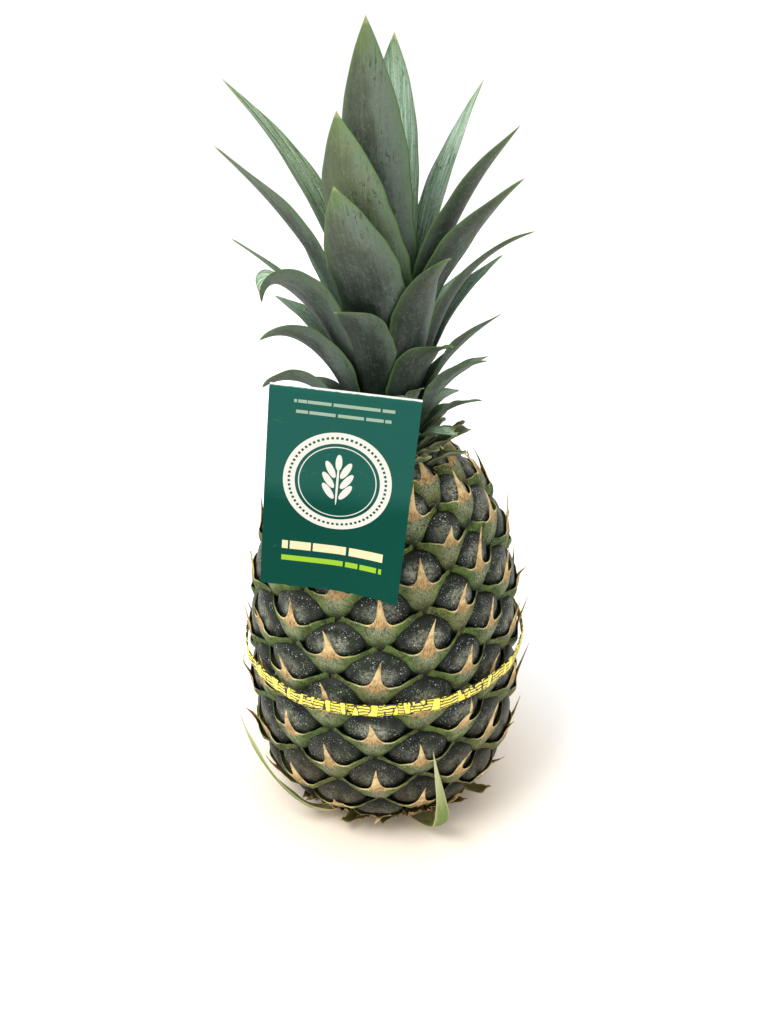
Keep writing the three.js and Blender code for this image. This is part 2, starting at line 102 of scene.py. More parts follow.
# ------------------------ mesh helpers
def build(name, verts, faces, attrs=None, material=None, slot=None):
    """A mesh object from points in mm, with named point attributes."""
    me = bpy.data.meshes.new(name)
    me.from_pydata((np.asarray(verts, float) * MM).tolist(), [], [list(f) for f in faces])
    for key, values in (attrs or {}).items():
        values = np.asarray(values, np.float32)
        if values.ndim == 2:
            me.attributes.new(key, "FLOAT_VECTOR", "POINT").data.foreach_set("vector", values.ravel())
        else:
            me.attributes.new(key, "FLOAT", "POINT").data.foreach_set("value", values)
    me.polygons.foreach_set("use_smooth", [True] * len(me.polygons))
    me.validate()
    o = bpy.data.objects.new(name, me)
    bpy.context.scene.collection.objects.link(o)
    if material:
        me.materials.append(material)
    if slot:
        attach(o, "root")
    return o


def grid_faces(rows, cols, wrap=False):
    """Quads over a grid of points given row by row; wrap joins the last column to the first."""
    out = []
    last = cols if wrap else cols - 1
    for k in range(rows - 1):
        a = k * cols
        for i in range(last):
            j = (i + 1) % cols
            out.append((a + i, a + j, a + cols + j, a + cols + i))
    return out


def tube_faces(rings, sides, closed=False):
    """Quads round a section swept through rings of points; closed joins the last ring to the first."""
    out = []
    for i in range(rings if closed else rings - 1):
        j = (i + 1) % rings
        for k in range(sides):
            m = (k + 1) % sides
            out.append((i * sides + k, j * sides + k, j * sides + m, i * sides + m))
    return out


class Parts:
    """Gathers several small bodies and their attributes into one mesh."""

    def __init__(self):
        self.verts, self.faces, self.attrs, self.count = [], [], {}, 0

    def add(self, verts, faces, **attrs):
        verts = np.asarray(verts, float).reshape(-1, 3)
        self.faces += [tuple(self.count + i for i in f) for f in faces]
        self.verts.append(verts)
        for key, v in attrs.items():
            self.attrs.setdefault(key, []).append(v if np.ndim(v) else np.full(len(verts), float(v)))
        self.count += len(verts)

    def build(self, name, material, slot):
        attrs = {k: np.concatenate(v) for k, v in self.attrs.items()}
        return build(name, np.concatenate(self.verts), self.faces, attrs, material, slot)


# ------------------------ node helpers
class Nodes:
    """Builds one node material with short calls; any input may be a number or a socket."""

    def __init__(self, name):
        self.material = bpy.data.materials.new(name)
        self.material.use_nodes = True
        self.tree = self.material.node_tree
        self.tree.nodes.clear()
        self.out = self.node("ShaderNodeOutputMaterial")
        self.shader = self.node("ShaderNodeBsdfPrincipled")
        self.link(self.shader.outputs[0], self.out.inputs["Surface"])

    def node(self, kind, **props):
        n = self.tree.nodes.new(kind)
        for key, value in props.items():
            setattr(n, key, value)
        return n

    def link(self, a, b):
        self.tree.links.new(a, b)

    def put(self, socket, value):
        if isinstance(value, bpy.types.NodeSocket):
            self.link(value, socket)
        elif value is not None:
            socket.default_value = value

    def math(self, op, a, b=None, clamp=False):
        n = self.node("ShaderNodeMath", operation=op, use_clamp=clamp)
        for socket, value in zip(n.inputs, (a, b)):
            self.put(socket, value)
        return n.outputs[0]

    def add(self, a, b):
        return self.math("ADD", a, b)

    def mul(self, a, b, clamp=False):
        return self.math("MULTIPLY", a, b, clamp=clamp)

    def sub(self, a, b):
        return self.math("SUBTRACT", a, b)

    def step(self, a, b, x):
        """0 at a and 1 at b, smooth between; a may be the larger."""
        n = self.node("ShaderNodeMapRange", interpolation_type="SMOOTHSTEP")
        self.put(n.inputs[0], x)
        lo, hi, t0, t1 = (a, b, 0.0, 1.0) if a < b else (b, a, 1.0, 0.0)
        for socket, value in zip(n.inputs[1:5], (lo, hi, t0, t1)):
            socket.default_value = value
        return n.outputs[0]

    def mix(self, fac, a, b):
        n = self.node("ShaderNodeMix", data_type="RGBA")
        self.put(n.inputs[0], fac)
        self.put(n.inputs[6], srgb(a) if isinstance(a, str) else a)
        self.put(n.inputs[7], srgb(b) if isinstance(b, str) else b)
        return n.outputs[2]

    def lerp(self, fac, a, b):
        n = self.node("ShaderNodeMix", data_type="FLOAT")
        for socket, value in zip(n.inputs[0:1] + n.inputs[2:4], (fac, a, b)):
            self.put(socket, value)
        return n.outputs[0]

    def attr(self, name, out="Fac"):
        return self.node("ShaderNodeAttribute", attribute_name=name).outputs[out]

    def xyz(self, vector):
        n = self.node("ShaderNodeSeparateXYZ")
        self.link(vector, n.inputs[0])
        return n.outputs

    def join(self, x, y, z=0.0):
        n = self.node("ShaderNodeCombineXYZ")
        for socket, value in zip(n.inputs, (x, y, z)):
            self.put(socket, value)
        return n.outputs[0]

    def place(self):
        return self.node("ShaderNodeTexCoord").outputs["Object"]

    def noise(self, scale, detail=3.0, rough=0.55, vector=None, distort=0.0):
        n = self.node("ShaderNodeTexNoise")
        self.put(n.inputs["Vector"], vector if vector is not None else self.place())
        n.inputs["Scale"].default_value = scale
        n.inputs["Detail"].default_value = detail
        n.inputs["Roughness"].default_value = rough
        n.inputs["Distortion"].default_value = distort
        return n.outputs[0]

    def cells(self, scale):
        n = self.node("ShaderNodeTexVoronoi")
        self.put(n.inputs["Vector"], self.place())
        n.inputs["Scale"].default_value = scale
        return n

    def specks(self, scale, size, share):
        """Small round specks on a share of the cells."""
        n = self.cells(scale)
        near = self.step(size, size * 0.4, n.outputs["Distance"])
        pick = self.math("LESS_THAN", self.xyz(n.outputs["Color"])[0], share)
        return self.mul(near, pick)

    def bump(self, height, distance, strength=1.0):
        n = self.node("ShaderNodeBump")
        n.inputs["Distance"].default_value = distance
        n.inputs["Strength"].default_value = strength
        self.put(n.inputs["Height"], height)
        self.link(n.outputs[0], self.shader.inputs["Normal"])

    def finish(self, color, roughness, **sockets):
        self.put(self.shader.inputs["Base Color"], color)
        self.put(self.shader.inputs["Roughness"], roughness)
        for key, value in sockets.items():
            self.put(self.shader.inputs[key.replace("_", " ")], value)
        return self.material


# ------------------------ the fruit's meridian
def catmull(points, count):
    """Centripetal Catmull-Rom through the points, sampled evenly in its own parameter."""
    p = np.asarray(points, float)
    n = len(p)
    ext = np.vstack([2 * p[0] - p[1], p, 2 * p[-1] - p[-2]])
    out = []
    for t in np.linspace(0, n - 1, count):
        i = min(int(t), n - 2)
        w = t - i
        a, b, c, d = ext[i], ext[i + 1], ext[i + 2], ext[i + 3]
        d0, d1, d2 = (max(1e-4, np.linalg.norm(q - r) ** 0.5) for q, r in ((b, a), (c, b), (d, c)))
        t1 = ((b - a) / d0 - (c - a) / (d0 + d1) + (c - b) / d1) * d1
        t2 = ((c - b) / d1 - (d - b) / (d1 + d2) + (d - c) / d2) * d1
        out.append(b + t1 * w + (-3 * b + 3 * c - 2 * t1 - t2) * w * w + (2 * b - 2 * c + t1 + t2) * w ** 3)
    return np.array(out)


profile = catmull([(BASE_FLAT_DIAMETER / 2, 0)]
                  + [(r * FRUIT_DIAMETER / 2, h * FRUIT_HEIGHT) for h, r in FRUIT_SHAPE]
                  + [(FRUIT_TOP_DIAMETER / 2, FRUIT_HEIGHT)], 1400)
profile_s = np.concatenate([[0], np.cumsum(np.linalg.norm(np.diff(profile, axis=0), axis=1))])
LENGTH = profile_s[-1]
profile_dir = np.gradient(profile, profile_s, axis=0)
profile_dir /= np.linalg.norm(profile_dir, axis=1)[:, None]


def radius_at(s):
    return np.interp(s, profile_s, profile[:, 0])


def height_at(s):
    return np.interp(s, profile_s, profile[:, 1])


def on_fruit(azimuth, s, height):
    """Points standing out from the fruit's envelope; azimuth in degrees, 0 at the front."""
    s = np.clip(s, 0, LENGTH)
    azimuth = np.asarray(azimuth, float)
    a = np.radians(azimuth)
    r = radius_at(s) + height * np.interp(s, profile_s, profile_dir[:, 1])
    z = height_at(s) - height * np.interp(s, profile_s, profile_dir[:, 0])
    return np.stack(np.broadcast_arrays(r * np.sin(a), -r * np.cos(a), z), -1)


def eye_share(s):
    """1 over most of the fruit, falling to 0 at the flat spot and at the crown."""
    return smooth(-4, 14, s) * smooth(-2, 14, LENGTH - s)


def band_z(azimuth):
    """The height of the tilted band's middle."""
    return BAND_Z + BAND_TILT * np.cos(np.radians(azimuth - BAND_TILT_AZIMUTH))


EYES = int((EYES_PER_TURN * (LENGTH - FIRST_DISTANCE)) // EYE_PITCH)
eye_random = rng.random((EYES + 60, 6))               # the 60 past the last eye fill the cells at the top


# ------------------------ fruit: skin with its domes
def cell_of(azimuth, s):
    """Offsets from the centre of the eye that holds each place, its number, and 0 to 1 out to its rim."""
    best_d = np.full(azimuth.shape, 1e9)
    best = [np.zeros(azimuth.shape) for _ in range(3)]
    level = np.floor(EYES_PER_TURN * (s - FIRST_DISTANCE) / EYE_PITCH)
    for k in range(-13, 14):                           # the eyes within a little more than one turn
        t = level + k
        across = (azimuth - FIRST_AZIMUTH - EYE_ANGLE * t + 180) % 360 - 180
        u = across / (EYE_ANGLE / 2)
        v = (s - FIRST_DISTANCE - EYE_PITCH * t / EYES_PER_TURN) / EYE_PITCH
        e = (np.abs(u) / DOME_WIDTH) ** DOME_POWER + (np.abs(v - DOME_CENTRE) / DOME_HEIGHT) ** DOME_POWER
        closer = e < best_d
        best_d = np.where(closer, e, best_d)
        best = [np.where(closer, new, old) for new, old in zip((u, v, t), best)]
    return (*best, best_d ** (1 / DOME_POWER))


def skin_material():
    """Dark green domes with bloom and pale specks, browner low down, and grooves darkened as painted shade."""
    n = Nodes("rind_domes")
    e = n.attr("rim")
    x, y, _ = n.xyz(n.attr("cell", "Vector"))
    r1 = n.attr("rnd1")
    r2 = n.attr("rnd2")
    coarse = n.noise(90, 4, 0.6)
    fine = n.noise(700, 3, 0.7)
    grain = n.noise(2200, 2, 0.6)
    dark = n.mix(n.step(0.35, 0.7, coarse), "060906", "1c2318")
    green = n.mix(n.step(0.45, 0.75, n.noise(160, 3, 0.6)), dark, "28331d")
    dryness = n.attr("dry")
    # whitish bloom low in the middle of the dome, fading to its rim
    low = n.math("SQRT", n.add(n.math("POWER", n.mul(x, 0.105), 2.0),
                               n.math("POWER", n.mul(n.sub(y, 4.6), 0.165), 2.0)))
    bloom = n.mul(n.step(1.05, 0.25, n.add(low, n.mul(n.sub(coarse, 0.5), 1.1))),
                  n.step(0.36, 0.60, n.add(n.mul(fine, 0.7), n.mul(grain, 0.3))))
    bloom = n.mul(bloom, n.add(0.4, n.mul(r1, 0.85)))
    bloom = n.mul(bloom, n.sub(1.0, n.mul(dryness, 0.75)), clamp=True)
    frosted = n.mix(n.mul(bloom, 0.82), green, "a7a994")
    specks = n.math("MAXIMUM", n.specks(850, 0.34, 0.17), n.specks(1500, 0.36, 0.22))
    dust = n.mul(n.math("MAXIMUM", specks, n.mul(n.specks(2600, 0.4, 0.35), 0.8)), n.step(1.0, 0.8, e))
    dust = n.mul(dust, n.step(0.36, 0.60, n.noise(260, 2, 0.5)))
    dust = n.mul(dust, n.sub(1.0, n.mul(dryness, 0.6)))
    dusty = n.mix(n.mul(dust, 0.9), frosted, "dce0d8")
    # browner, drier eyes low on the fruit
    dry = n.mul(dryness, n.step(0.30, 0.62, n.noise(120, 4, 0.6)))
    browned = n.mix(n.mul(dry, 0.75), dusty, n.mix(n.step(0.35, 0.65, fine), "1f180e", "4d3d26"))
    # painted shade: the grooves between the domes are near-black
    groove_shade = n.mix(n.step(0.74, 0.98, e), browned, n.mix(n.step(0.3, 0.7, fine), "040604", "141b10"))
    height = n.add(n.mul(fine, 0.5), n.add(n.mul(grain, 0.25), n.mul(dust, 0.9)))
    n.bump(height, 0.0005, 0.75)
    rough = n.lerp(bloom, 0.42, 0.75)
    return n.finish(groove_shade, n.add(rough, n.mul(r2, 0.08)), Specular_IOR_Level=0.22)


def warp(azimuth, s):
    """Eyes drift a little from their ideal places, as on the real fruit."""
    a = (np.asarray(azimuth, float) + 180) % 360 - 180
    mid = smooth(20, 60, s) * smooth(20, 60, LENGTH - s)
    lowered = -6.0 * np.exp(-((a + 43) / 20) ** 2)     # to the left of the front
    turned = -7.0 * smooth(22, 62, a) * smooth(150, 95, a)     # to the right of the front
    ds = mid * (lowered + 1.4 * np.sin(np.radians(3 * a + 40)) * np.sin(s / 23))
    da = mid * (turned + 1.5 * np.sin(s / 19 + np.radians(2 * a)))
    return a + da, s + ds


def skin():
    """The rind: a dome in every eye, grooves between them, the flat spot and the stalk's recess."""
    az_axis = np.arange(SKIN_COLUMNS) * 360 / SKIN_COLUMNS
    az, s = np.meshgrid(az_axis, np.linspace(0, LENGTH, SKIN_ROWS))
    u, v, t, e = cell_of(az, s)
    share = eye_share(s)
    r = eye_random[np.clip(t.astype(int), 0, len(eye_random) - 1)]
    top = np.clip(1 - e ** 3.6, 0, 1) ** 0.75
    rise = top * (EYE_RELIEF - 0.5 + 0.8 * (r[..., 2] - 0.5))
    dimple = 0.9 * np.exp(-((u / 0.16) ** 2 + ((v - 0.34) / 0.2) ** 2))
    depth = share * (EYE_RELIEF - rise + dimple * r[..., 3]) + (1 - share) * 0.6
    wa, ws = warp(az, s)
    pts = list(on_fruit(wa, ws, -depth).reshape(-1, 3))
    half = np.radians(EYE_ANGLE / 2) * radius_at(s)
    cell = np.stack([u * half, v * EYE_PITCH, 0 * u], -1).reshape(-1, 3)
    faces = grid_faces(SKIN_ROWS, SKIN_COLUMNS, wrap=True)
    z = height_at(s)
    low = np.clip((BROWN_TO - z) / BROWN_TO, 0, 1)
    a = (az + 180) % 360 - 180
    dry = np.clip(low * 1.2 + 0.4 * smooth(30, 75, a) * (a < 120) * smooth(110, 60, z), 0, 1)
    attrs = {"rim": e.ravel(), "cell": cell, "rnd1": r[..., 0].ravel(), "rnd2": r[..., 1].ravel(),
             "dry": (dry * (0.5 + r[..., 4])).ravel()}
    # the flat spot with the stalk's recess, and the top under the crown
    recess = STALK_DIAMETER / 2 + CLEARANCE
    first = len(pts)
    for z in (0, STALK_DEPTH):
        pts += [(recess * math.sin(a), -recess * math.cos(a), z) for a in np.radians(az_axis)]
    pts += [(0, 0, STALK_DEPTH), (0, 0, FRUIT_HEIGHT - 0.5)]
    n = SKIN_COLUMNS
    roof, summit = first + 2 * n, first + 2 * n + 1
    top_row = (SKIN_ROWS - 1) * n
    for i in range(n):
        j = (i + 1) % n
        faces.append((i, first + i, first + j, j))
        faces.append((first + i, first + n + i, first + n + j, first + j))
        faces.append((first + n + i, roof, first + n + j))
        faces.append((top_row + i, top_row + j, summit))
    extra = 2 * n + 2
    for key, values in attrs.items():
        past_rim = 1.5 if key == "rim" else 0.0
        attrs[key] = np.concatenate([values, np.full((extra, *values.shape[1:]), past_rim)])
    return build("fruit_skin", np.array(pts), faces, attrs, skin_material(), "rind")


fruit = skin()
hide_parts("fruit")


# ------------------------ bracts: a collar with a spine at each eye
def bract_material():
    """Green bracts with grey fuzz, dry ones low down and at the right, and tan spines."""
    n = Nodes("rind_bracts")
    x, y, _ = n.xyz(n.attr("cell", "Vector"))
    rim = n.attr("margin")
    spine = n.attr("spine")
    r1 = n.attr("rnd1")
    fine = n.noise(800, 4, 0.7)
    mid = n.noise(220, 4, 0.65)
    fibre = n.noise(1.0, 3, 0.6, n.join(n.mul(x, 2.6), n.mul(y, 0.5), n.mul(r1, 40)))
    green = n.mix(n.step(0.3, 0.7, mid), "1d2a12", "54692b")
    green = n.mix(n.mul(n.step(0.42, 0.68, fibre), 0.6), green, "66783f")
    # greyish fuzz in the middle of the bract
    middle = n.mul(n.step(9.0, 1.0, n.math("ABSOLUTE", x)), n.step(-14.0, -3.0, y))
    fuzz = n.mul(middle, n.step(0.38, 0.62, n.noise(1300, 3, 0.75)))
    green = n.mix(n.mul(fuzz, n.sub(0.75, n.mul(n.attr("dry"), 0.35))), green, "a5a38a")
    # painted shade along the lower edges
    painted_shade_low = n.step(-4.5, -12.0, n.add(y, n.mul(n.math("ABSOLUTE", x), 0.55)))
    deep = n.mix(n.mul(painted_shade_low, 0.9), green, "0e130a")
    straw = n.mix(n.step(0.35, 0.7, fine), "4a3821", "9c8250")
    dry = n.mul(n.attr("dry"), n.step(0.3, 0.62, mid))
    dried = n.mix(n.mul(dry, 0.75), deep, straw)
    # a pale margin near the spine, and the tan spine with its lighter sides
    pale = n.mul(n.step(0.8, 0.15, rim), n.add(0.35, n.mul(n.step(0.3, 0.6, mid), 0.65)))
    pale = n.mul(pale, n.step(15.0, 4.0, n.math("ABSOLUTE", x)))
    edged = n.mix(n.mul(pale, 0.9), dried, "d8cd8c")
    tan = n.mix(n.step(0.3, 0.7, fibre), "7c5832", "cdab74")
    tan = n.mix(n.mul(n.step(0.5, 0.7, n.noise(600, 4, 0.7)), 0.6), tan, "66462a")
    tan = n.mix(n.mul(n.step(0.6, 1.0, spine), n.step(0.35, 0.6, mid)), tan, "dabf88")
    tan = n.mix(n.mul(n.step(0.45, 0.1, rim), 0.7), tan, "e0d09a")
    spiny = n.mix(n.step(0.12, 0.55, n.add(spine, n.mul(n.sub(mid, 0.5), 0.9))), edged, tan)
    specks = n.math("MAXIMUM", n.specks(1200, 0.3, 0.22), n.specks(2300, 0.33, 0.25))
    dust = n.mul(specks, n.step(0.4, 0.62, n.noise(300, 2, 0.5)))
    dusty = n.mix(n.mul(dust, 0.8), spiny, "dfe2d6")
    n.bump(n.add(n.mul(fine, 0.7), n.add(n.mul(fibre, 0.8), n.mul(dust, 0.6))), 0.0004, 0.8)
    return n.finish(dusty, n.lerp(fine, 0.55, 0.85), Specular_IOR_Level=0.2)


# The lower edge of a bract: shares of the half width, and of the pitch below its eye's centre.
LOWER_U = [0, 0.1, 0.2, 0.3, 0.38, 0.46, 0.56, 0.7, 0.85, 1.0]
LOWER_V = [-0.98, -0.95, -0.86, -0.72, -0.58, -0.43, -0.31, -0.20, -0.10, -0.01]
bracts = Parts()
across_axis = np.concatenate([-np.linspace(1, 0, 16)[:-1] ** 1.5, np.linspace(0, 1, 16) ** 1.5])
rows_axis = np.linspace(0, 1, 15)


def bract(t):
    """Adds one eye's bract: wings up both sides, a proud margin and the spine in its middle."""
    r = eye_random[t]
    azimuth = FIRST_AZIMUTH + EYE_ANGLE * t
    s0 = FIRST_DISTANCE + EYE_PITCH * t / EYES_PER_TURN
    share = float(eye_share(np.array(s0)))
    if share < MIN_EYE_SHARE:
        return
    half = math.radians(EYE_ANGLE / 2) * float(radius_at(s0))
    grown = share * (0.55 + 0.45 * float(smooth(8, 60, s0)))
    spine_half = (2.2 + 0.9 * r[0]) * grown / half
    length = (9.0 + 6.5 * r[1]) * grown
    if r[5] > 0.93:                                    # a broken spine
        length *= 0.45
    u = across_axis * 0.97
    au = np.abs(u)
    lower = np.interp(au, LOWER_U, LOWER_V) * EYE_PITCH
    margin = (0.27 * au ** 1.9 - 0.05 * np.sin(np.pi * np.minimum(au / 0.55, 1))) * EYE_PITCH
    margin += 1.9 * grown * np.exp(-np.clip(au - spine_half, 0, 9) / 0.055)
    margin += 0.6 * np.sin(7 * u + 20 * r[2]) * au + 0.28 * np.sin(23 * u + 9 * r[3]) * au
    upper = margin + length * np.clip(1 - au / spine_half, 0, 1) ** 1.45
    y = lower + (upper - lower) * rows_axis[:, None]
    q = np.clip((y - lower) / np.maximum(margin - lower, 0.5), 0, 1)
    lip = 0.75 + 0.3 * (r[5] - 0.5) - 4.0 * smooth(0.42, 1.0, au)
    h = -4.1 + (lip + 4.1) * (1 - (1 - q) ** 2.0)
    h = h + 0.22 * np.sin(26 * u + 6 * r[0]) * np.clip(1 - q, 0, 1) * q * 3
    h = h + 0.18 * np.sin(11 * u + 3 * q + 9 * r[1])
    over = np.clip((y - margin) / max(length, 0.1), 0, 1)
    lean = (1.8 + 4.0 * r[3]) * grown
    keel = 0.9 * grown * np.clip(1 - au / spine_half, 0, 1)
    h = h + lean * over ** 1.25 + keel * np.clip(q * 1.6 - 0.6, 0, 1) * (1 - 0.6 * over)
    x = u * half + (r[4] - 0.5) * 7.5 * grown * over ** 2
    h = -1.0 + (h + 1.0) * (0.35 + 0.65 * share)
    a_deg = azimuth + np.degrees(x / half) * math.radians(EYE_ANGLE / 2)
    wa, ws = warp(a_deg, s0 + y)
    # the band presses down what lies under it
    near = height_at(np.clip(ws, 0, LENGTH)) - band_z(wa)
    if np.min(np.abs(near)) < 9:
        above, below = np.maximum(near - BAND_GAP, 0), np.maximum(-near - BAND_GAP, 0)
        h = np.minimum(h, 0.35 + above * 0.4 + below * 0.8)
    cell = np.stack([x, y, 0 * y], -1)
    edge = np.where(over > 0, (spine_half - au) * half * 0.6, upper - y)
    foot = spine_half * (1.5 + 1.9 * smooth(-3.5, 0, y - margin))
    spine = 0.85 * smooth(1, 0.2, au / foot) * smooth(-7.5 * grown, 1.5, y - margin)
    spine = np.clip(spine + over * 1.1, 0, 1)
    low = float(np.clip((DRY_TO - height_at(s0)) / DRY_TO, 0, 1))
    a0 = (azimuth + 180) % 360 - 180
    right = float(smooth(25, 70, a0)) * (a0 < 130) * float(smooth(125, 70, height_at(s0)))
    dry = min(1.0, 0.02 + 1.1 * low + 0.5 * right + 0.3 * (r[2] > 0.8))
    bracts.add(on_fruit(wa, ws, h), grid_faces(len(rows_axis), len(u)), cell=cell.reshape(-1, 3),
               margin=edge.ravel(), spine=spine.ravel(), rnd1=r[0], dry=dry * (0.6 + 0.6 * r[3]))


for t in range(EYES):
    bract(t)
bract_obj = bracts.build("fruit_bracts", bract_material(), "rind")
shell = bract_obj.modifiers.new("thickness", "SOLIDIFY")
shell.thickness = BRACT_THICKNESS * MM
shell.offset = -1


# ------------------------ leaves
# Azimuth, foot's height on the stem, reach, tip's height over the fruit, width, steepness in degrees at the
# foot and at the tip, drift sideways in degrees and roll.
CROWN_LEAVES = [
    (-20, 40, 19, 171, 29, 87, 92, 0, 0), (154, 38, 9, 164, 21, 84, 97, 0, 0),
    (-33, 35.5, 30, 140, 28, 84, 90, -2, 0), (-144, 34.5, 25, 138, 16, 83, 84, 0, 0),
    (119, 30, 46, 146, 14, 80, 58, 1, -14), (-12, 31, 37, 114, 27, 82, 91, -18, 0),
    (180, 31, 42, 132, 17, 79, 68, 0, 0), (-114, 30, 72, 146, 16, 82, 40, 0, 10),
    (72, 27.5, 53, 134, 19, 78, 49, 2, 26), (-170, 27, 52, 116, 19, 80, 60, 0, 0),
    (-87, 25.5, 66, 125, 18, 79, 43, 0, -28), (66, 24, 57, 116, 18, 78, 42, 2, 30),
    (138, 24.5, 56, 120, 18, 78, 50, 0, 0), (-75, 21, 52, 66, 18, 78, -78, 5, -12),
    (37, 20, 42, 89, 18, 63, 33, 0, 4), (-138, 22, 60, 104, 18, 76, 40, 0, 0),
    (88, 19, 61, 93, 16, 72, 22, -4, 18), (115, 16.5, 57, 76, 14, 68, 32, 0, 0),
    (-19, 18, 45, 70, 20, 71, 15, -6, 0), (160, 18.5, 62, 88, 18, 72, 32, 0, 0),
    (-106, 18, 65, 86, 14, 72, 34, 6, -20), (-162, 16, 60, 74, 17, 70, 26, 0, 0),
    (44, 15, 36, 50, 22, 70, 10, 8, 10), (142, 13.5, 57, 68, 14, 69, 36, -8, 0),
    (-70, 13.5, 53, 49, 19, 72, -30, -8, -10), (92, 12, 50, 57, 13, 68, 34, 0, 30),
    (150, 11, 58, 54, 15, 65, 20, -2, 0), (-122, 12, 58, 56, 16, 66, 16, 0, 0),
    (9, 11, 45, 38, 12, 62, 34, 0, 0), (-35, 11, 48, 34, 16, 62, 20, 0, 0),
    (180, 10, 58, 46, 16, 62, 10, 0, 0), (67, 9, 46, 42, 13, 60, 14, 3, 22),
    (-90, 8, 53, 24, 16, 62, -38, 0, -15), (106, 7, 48, 34, 12, 60, 20, 0, 0),
    (38.5, 7, 27, 32, 10, 70, 20, 0, 0), (158, 6.5, 50, 28, 14, 56, 0, 0, 0),
    (-145, 6, 50, 26, 14, 56, -6, 0, 0), (-12, 5.5, 42, 20, 13, 54, 0, 0, 0),
    (84, 4, 43, 20, 11, 50, 6, 0, 20), (-60, 4, 44, 14, 12, 52, -10, 0, 0),
    (124, 3, 42, 14, 12, 48, 0, 0, 0), (-100, 2.5, 46, 10, 12, 46, -16, 0, 0),
    (-170, 2.5, 42, 10, 12, 46, -6, 0, 0), (58, 2.5, 37, 10, 10, 44, 0, 0, 0),
]
STEM_FOOT = FRUIT_HEIGHT + CLEARANCE


def stem_radius(h):
    """The crown's stem narrows upwards."""
    share = min(max(h / STEM_HEIGHT, 0), 1) ** 0.9
    return (FRUIT_TOP_DIAMETER / 2 - 1) * (1 - share) + STEM_TOP_DIAMETER / 2 * share


def polar(azimuth, r, z):
    """Points from an azimuth in degrees, a radius and a height."""
    a = np.radians(azimuth)
    return np.stack(np.broadcast_arrays(r * np.sin(a), -r * np.cos(a), z), -1)


def through(points, count, azimuth=None):
    """The curve through the points, by its share t; with an azimuth, the points are radius and height."""
    curve = catmull(points, count)

    def centre(t):
        q = t * (count - 1)
        i = int(min(max(math.floor(q), 0), count - 2))
        p = curve[i] + (curve[i + 1] - curve[i]) * (q - i)
        return p if azimuth is None else polar(azimuth, *p)

    return centre


def blade(centre, width, channel, base, thickness, roll, stations, taper, sharp, seed, wave=0.5, half_ring=7):
    """One leaf as a closed body along a curve: its points, faces and point attributes.

    channel is how deep it folds, base its width at the foot as a share; a higher taper keeps it wide longer.
    """
    local = np.random.default_rng(seed)
    phase = local.random(6) * 6.28
    t = np.linspace(0, 1, stations + 1)[:-1]
    mid = np.array([centre(k) for k in t])
    along = np.array([centre(k + 0.005) - centre(k - 0.005) for k in t])
    along /= np.linalg.norm(along, axis=1)[:, None]
    side = np.stack([-mid[:, 1], mid[:, 0], 0 * t], -1)
    side -= along * np.sum(side * along, 1)[:, None]
    side /= np.linalg.norm(side, axis=1)[:, None]
    ang = -np.radians(roll) * smooth(0.2, 0.7, t)
    side = side * np.cos(ang)[:, None] + np.cross(along, side) * np.sin(ang)[:, None]
    out = np.cross(side, along)
    out /= np.linalg.norm(out, axis=1)[:, None]
    half = (base + (1 - base) * smooth(0, 0.34, t)) * (1 - t ** taper) ** sharp * width / 2
    half *= 1 + 0.025 * np.sin(17 * t + phase[0]) + 0.015 * np.sin(41 * t + phase[1])
    thick = thickness * (1 - 0.65 * t)
    fold = channel * (1 - 0.35 * t) * half
    xs = np.sin(np.linspace(-1, 1, 2 * half_ring - 1) * math.pi / 2)
    ring_x = np.concatenate([xs, xs[-2:0:-1]])
    upper = np.concatenate([np.ones(len(xs)), -np.ones(len(xs) - 2)])
    body = np.sqrt(np.clip(1 - np.abs(ring_x) ** 2.5, 0, 1)) * 0.5 * upper
    body[0] = body[len(xs) - 1] = 0
    ripple = np.outer(np.sin(11 * t + phase[2]) * t * (1 - t) * 4, np.abs(ring_x) ** 3 * np.sign(ring_x))
    ripple *= wave
    ripple += wave * 0.5 * np.outer(np.sin(23 * t + phase[3]) * t, np.abs(ring_x) ** 4)
    lift = thick[:, None] * body[None, :] - fold[:, None] * (ring_x ** 2)[None, :] + ripple
    pts = mid[:, None, :] + side[:, None, :] * (half[:, None] * ring_x[None, :])[..., None] \
        + out[:, None, :] * lift[..., None]
    n = len(ring_x)
    verts = np.concatenate([pts.reshape(-1, 3), [centre(1.0)], [pts[0].mean(0)]])
    faces = grid_faces(stations, n, wrap=True)
    tip, root = stations * n, stations * n + 1
    faces += [((stations - 1) * n + i, (stations - 1) * n + (i + 1) % n, tip) for i in range(n)]
    faces += [((i + 1) % n, i, root) for i in range(n)]
    inner = np.tile((upper < 0).astype(float), stations)
    attrs = {
        "along": np.concatenate([np.repeat(t, n), [1, 0]]),
        "across": np.concatenate([np.tile(ring_x, stations), [0, 0]]),
        "inner": np.concatenate([inner, [0.5, 0.5]]),
        "flat": np.concatenate([np.repeat(half, n) * np.tile(ring_x, stations), [0, 0]]),
    }
    return verts, faces, attrs


def crown_curve(row):
    """A crown leaf's middle line, from its foot on the stem to its tip."""
    azimuth, foot, reach, tip, _, steep_foot, steep_tip, drift, _ = row
    p0 = np.array([stem_radius(foot) + CLEARANCE + 0.85, STEM_FOOT + foot])
    p3 = np.array([reach, FRUIT_HEIGHT + tip], float)
    pull = np.linalg.norm(p3 - p0) * 0.41
    start, end = math.radians(steep_foot), math.radians(steep_tip)
    p1 = p0 + pull * np.array([math.cos(start), math.sin(start)])
    p2 = p3 - pull * np.array([math.cos(end), math.sin(end)])

    def centre(t):
        q = (1 - t) ** 3 * p0 + 3 * (1 - t) ** 2 * t * p1 + 3 * (1 - t) * t * t * p2 + t ** 3 * p3
        return polar(azimuth + drift * t * t, q[0], q[1])

    return centre


